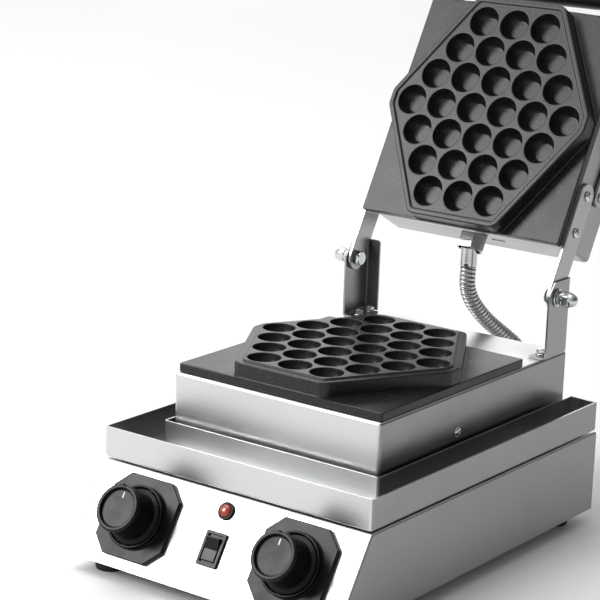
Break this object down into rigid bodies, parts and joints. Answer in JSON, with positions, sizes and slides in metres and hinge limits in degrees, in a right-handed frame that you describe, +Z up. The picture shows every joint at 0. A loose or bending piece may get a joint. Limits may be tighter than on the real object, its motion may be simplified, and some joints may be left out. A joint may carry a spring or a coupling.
{
  "type": "bubble waffle maker",
  "caption": "Table-top bubble waffle maker: stainless base with drip tray, black non-stick plates with round cups, and a lid that swings up on two arms.",
  "frame": {"origin": "middle of the machine's box on the table, under the feet", "axes": "+X to the machine's right, +Y to its back (the hinge side), +Z up; the control panel faces -Y"},
  "size_m": [0.289, 0.5786, 0.4969],
  "materials": {
    "stainless": "brushed stainless sheet, fine lines along each face",
    "bright_steel": "polished fasteners and fittings",
    "nonstick": "cast plate under a satin black non-stick coat with a fine grain",
    "black_plastic": "satin moulded heat-resistant plastic",
    "rubber": "matt moulded rubber",
    "wool": "mineral wool board",
    "lens": "clear amber lens",
    "ceramic": "pale moulded thermostat body"
  },
  "bodies": {
    "base": {"base_shell": "stainless", "base_floor": "stainless", "foot_front_left": "rubber", "foot_front_right": "rubber", "foot_rear_left": "rubber", "foot_rear_right": "rubber", "housing": "stainless", "lower_plate": "nonstick", "lower_element": "bright_steel", "lower_insulation": "wool", "hinge_bracket_left": "stainless", "pivot_bolt_left": "bright_steel", "pivot_washer_left": "bright_steel", "pivot_nut_left": "bright_steel", "cap_nut_left": "bright_steel", "bracket_front_screw_left": "bright_steel", "bracket_rear_screw_left": "bright_steel", "housing_screw_left": "bright_steel", "hinge_bracket_right": "stainless", "pivot_bolt_right": "bright_steel", "pivot_washer_right": "bright_steel", "pivot_nut_right": "bright_steel", "cap_nut_right": "bright_steel", "bracket_front_screw_right": "bright_steel", "bracket_rear_screw_right": "bright_steel", "housing_screw_right": "bright_steel", "timer_bezel": "black_plastic", "timer_body": "black_plastic", "thermostat_bezel": "black_plastic", "thermostat_body": "ceramic", "pilot_lamp": "lens", "rocker_frame": "black_plastic", "conduit_hose": "bright_steel", "conduit_elbow": "bright_steel", "elbow_nut": "bright_steel", "mains_gland": "black_plastic"},
    "lid": {"upper_plate": "nonstick", "lid_frame": "stainless", "lid_cover": "stainless", "upper_element": "bright_steel", "upper_insulation": "wool", "lid_arm_left": "stainless", "handle_bar_left": "stainless", "arm_front_screw_left": "bright_steel", "arm_rear_screw_left": "bright_steel", "bar_screw_left": "bright_steel", "grip_screw_left": "bright_steel", "lid_arm_right": "stainless", "handle_bar_right": "stainless", "arm_front_screw_right": "bright_steel", "arm_rear_screw_right": "bright_steel", "bar_screw_right": "bright_steel", "grip_screw_right": "bright_steel", "handle_grip": "black_plastic", "lid_gland_nut": "bright_steel", "conduit_ferrule": "bright_steel"},
    "drip_tray": {"drip_tray": "stainless"},
    "timer_knob": {"timer_knob": "black_plastic"},
    "thermostat_knob": {"thermostat_knob": "black_plastic"},
    "rocker_key": {"rocker_key": "black_plastic"}
  },
  "joints": [
    {"name": "lid_hinge", "type": "hinge", "parent": "base", "child": "lid", "pos_m": [0, 0.10334, 0.2231], "axis": [1, 0, 0], "range_deg": [0, 118.85], "deforming": ["conduit_hose"]},
    {"name": "tray_slide", "type": "slide", "parent": "base", "child": "drip_tray", "axis": [0, -1, 0], "range_m": [0, 0.32]},
    {"name": "timer_turn", "type": "hinge", "parent": "base", "child": "timer_knob", "pos_m": [-0.084, -0.24824, 0.05361], "axis": [0, 0.848, -0.5299], "range_deg": [0, 300]},
    {"name": "thermostat_turn", "type": "hinge", "parent": "base", "child": "thermostat_knob", "pos_m": [0.084, -0.24824, 0.05361], "axis": [0, 0.848, -0.5299], "range_deg": [0, 270]},
    {"name": "rocker_press", "type": "hinge", "parent": "base", "child": "rocker_key", "pos_m": [0, -0.25168, 0.0481], "axis": [-1, 0, 0], "range_deg": [0, 18]}
  ]
}
